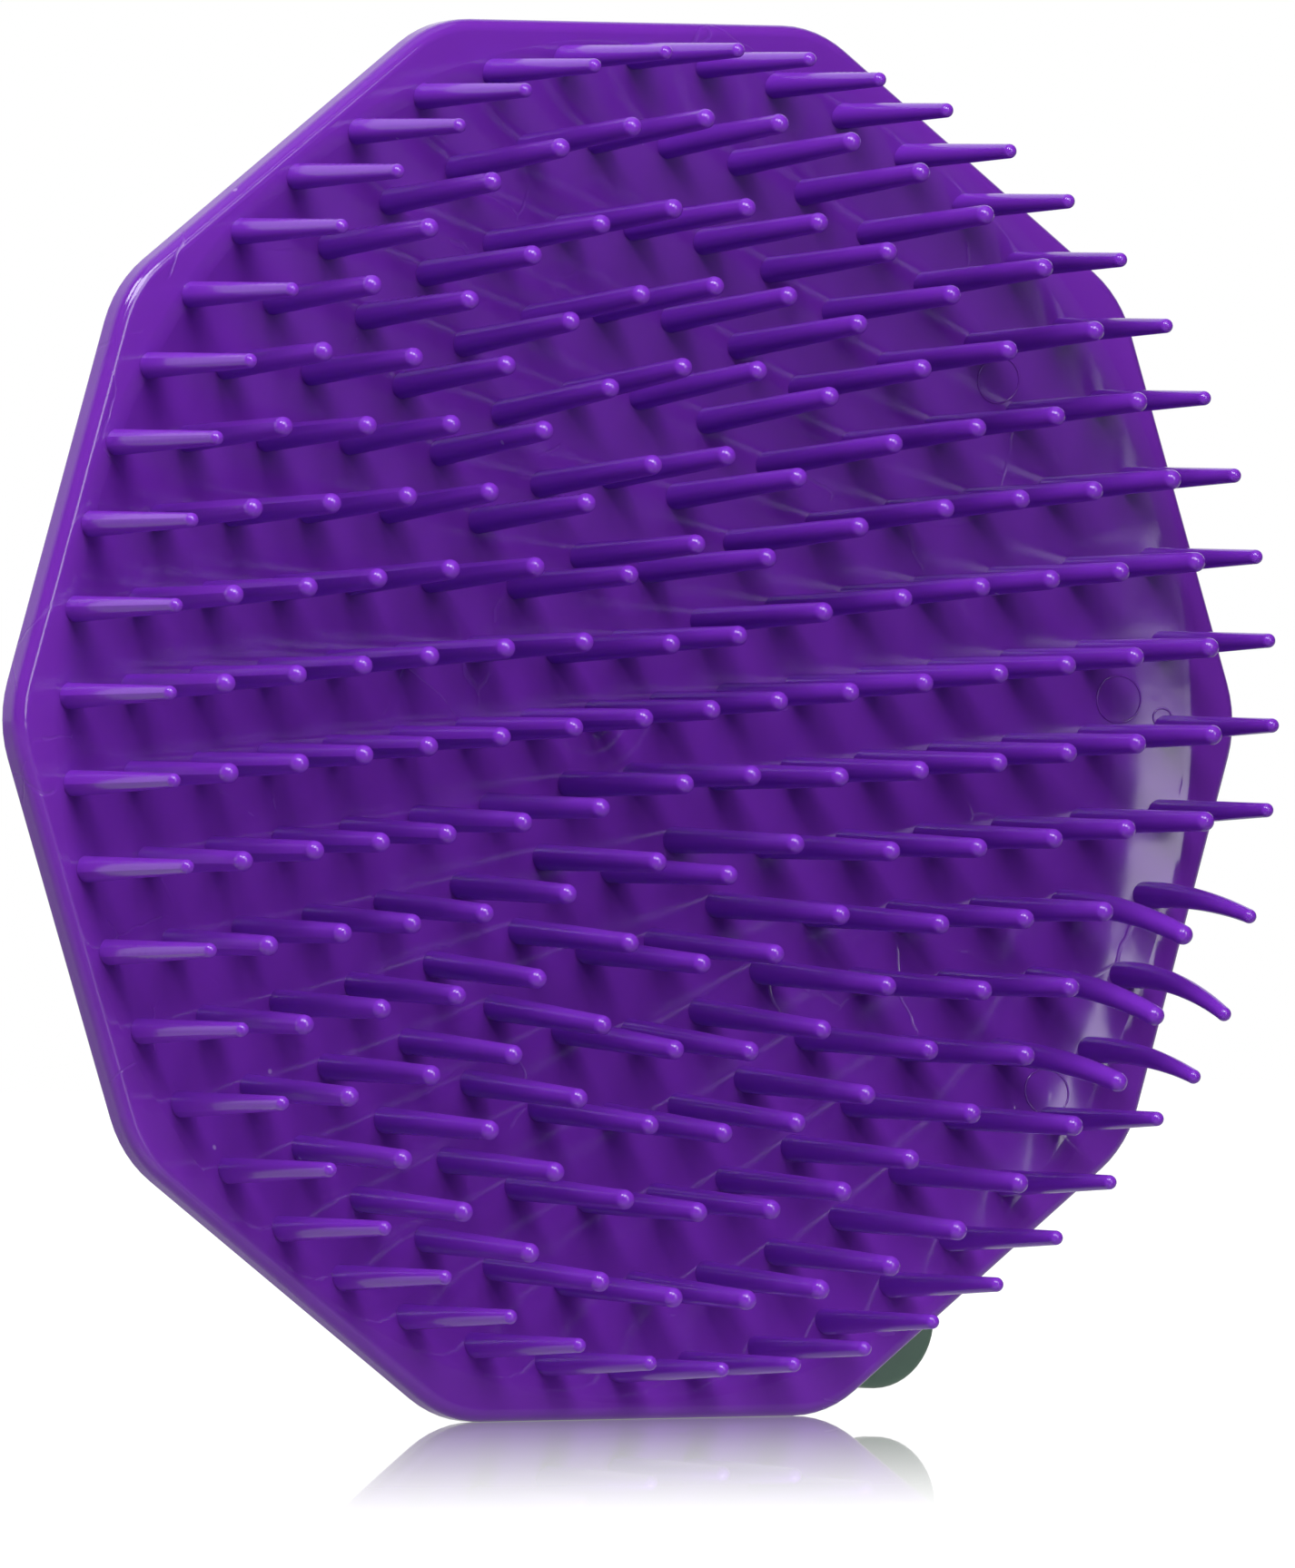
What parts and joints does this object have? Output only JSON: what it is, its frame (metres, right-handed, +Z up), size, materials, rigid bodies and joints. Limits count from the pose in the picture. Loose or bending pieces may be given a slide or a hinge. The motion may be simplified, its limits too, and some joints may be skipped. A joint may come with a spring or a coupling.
{
  "type": "curry comb",
  "caption": "Decagonal soft grooming comb with rings of tapered round-ended pins on a gently hollow face and an adjustable finger strap hinged across its back.",
  "frame": {"origin": "middle of the bottom flat of the ten-sided rim, which the comb stands on", "axes": "+Z up the standing pad, +X to the right seen from the pin side, -Y the way the pins point, +Y towards the strap"},
  "size_m": [0.0938, 0.0455, 0.09],
  "materials": {
    "pad": "soft, slightly glossy",
    "pins": "soft, slightly glossy",
    "strap": "satin",
    "fittings": "satin",
    "metal": "satin"
  },
  "bodies": {
    "comb": {"comb_pad": "pad", "centre_pin": "pins", "pin_ring_1": "pins", "pin_ring_2": "pins", "pin_ring_3": "pins", "pin_ring_4": "pins", "pin_ring_5": "pins", "pin_ring_6": "pins", "pin_ring_7": "pins", "pin_ring_8": "pins", "bent_pins": "pins", "strap_anchor": "fittings", "hinge_pin": "metal", "pin_clip": "metal", "stud_base": "fittings", "button_stud": "metal"},
    "strap": {"hand_strap": "strap"}
  },
  "joints": [
    {"name": "strap_hinge", "type": "hinge", "parent": "comb", "child": "strap", "pos_m": [-0.01635, 0.0085, 0.07366], "axis": [0.8686, 0, 0.4955], "range_deg": [0, 110]}
  ]
}
